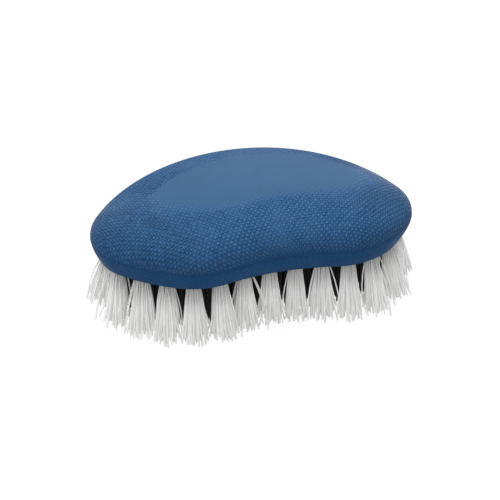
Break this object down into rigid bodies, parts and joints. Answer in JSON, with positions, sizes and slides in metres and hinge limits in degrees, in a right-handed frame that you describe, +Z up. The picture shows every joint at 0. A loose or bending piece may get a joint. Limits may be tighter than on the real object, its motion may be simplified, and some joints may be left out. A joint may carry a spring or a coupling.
{
  "type": "palm brush",
  "caption": "Kidney-shaped palm scrub brush: dimpled soft-grip domed handle over a rigid block, with splayed white tufts round black ones.",
  "frame": {"origin": "middle of the bounding box, on the plane of the bristle tips", "axes": "+X along the length, towards the narrower end; -Y to the hollow front side; +Z up through the crown of the grip"},
  "size_m": [0.1468, 0.086, 0.0536],
  "materials": {
    "grip_rubber": "satin soft-touch skin with a fine woven-looking pit texture",
    "core_plastic": "moulded",
    "block_plastic": "smooth moulded, satin",
    "white_filament": "stiff translucent white filament",
    "black_filament": "stiff black filament",
    "anchor_wire": "flat wire"
  },
  "bodies": {
    "root": {"black_tuft_01": "black_filament", "black_tuft_02": "black_filament", "black_tuft_03": "black_filament", "black_tuft_04": "black_filament", "black_tuft_05": "black_filament", "black_tuft_06": "black_filament", "black_tuft_07": "black_filament", "black_tuft_08": "black_filament", "black_tuft_09": "black_filament", "black_tuft_10": "black_filament", "black_tuft_11": "black_filament", "black_tuft_12": "black_filament", "black_tuft_13": "black_filament", "black_tuft_14": "black_filament", "black_tuft_15": "black_filament", "black_tuft_16": "black_filament", "black_tuft_17": "black_filament", "black_tuft_18": "black_filament", "black_tuft_19": "black_filament", "black_tuft_20": "black_filament", "black_tuft_21": "black_filament", "black_tuft_22": "black_filament", "black_tuft_23": "black_filament", "black_tuft_24": "black_filament", "black_tuft_25": "black_filament", "black_tuft_26": "black_filament", "black_tuft_27": "black_filament", "black_tuft_28": "black_filament", "black_tuft_29": "black_filament", "bristle_block": "block_plastic", "grip_cover": "grip_rubber", "handle_core": "core_plastic", "tuft_anchors": "anchor_wire", "white_tuft_01": "white_filament", "white_tuft_02": "white_filament", "white_tuft_03": "white_filament", "white_tuft_04": "white_filament", "white_tuft_05": "white_filament", "white_tuft_06": "white_filament", "white_tuft_07": "white_filament", "white_tuft_08": "white_filament", "white_tuft_09": "white_filament", "white_tuft_10": "white_filament", "white_tuft_11": "white_filament", "white_tuft_12": "white_filament", "white_tuft_13": "white_filament", "white_tuft_14": "white_filament", "white_tuft_15": "white_filament", "white_tuft_16": "white_filament", "white_tuft_17": "white_filament", "white_tuft_18": "white_filament", "white_tuft_19": "white_filament", "white_tuft_20": "white_filament", "white_tuft_21": "white_filament", "white_tuft_22": "white_filament", "white_tuft_23": "white_filament", "white_tuft_24": "white_filament", "white_tuft_25": "white_filament", "white_tuft_26": "white_filament", "white_tuft_27": "white_filament"}
  },
  "joints": []
}
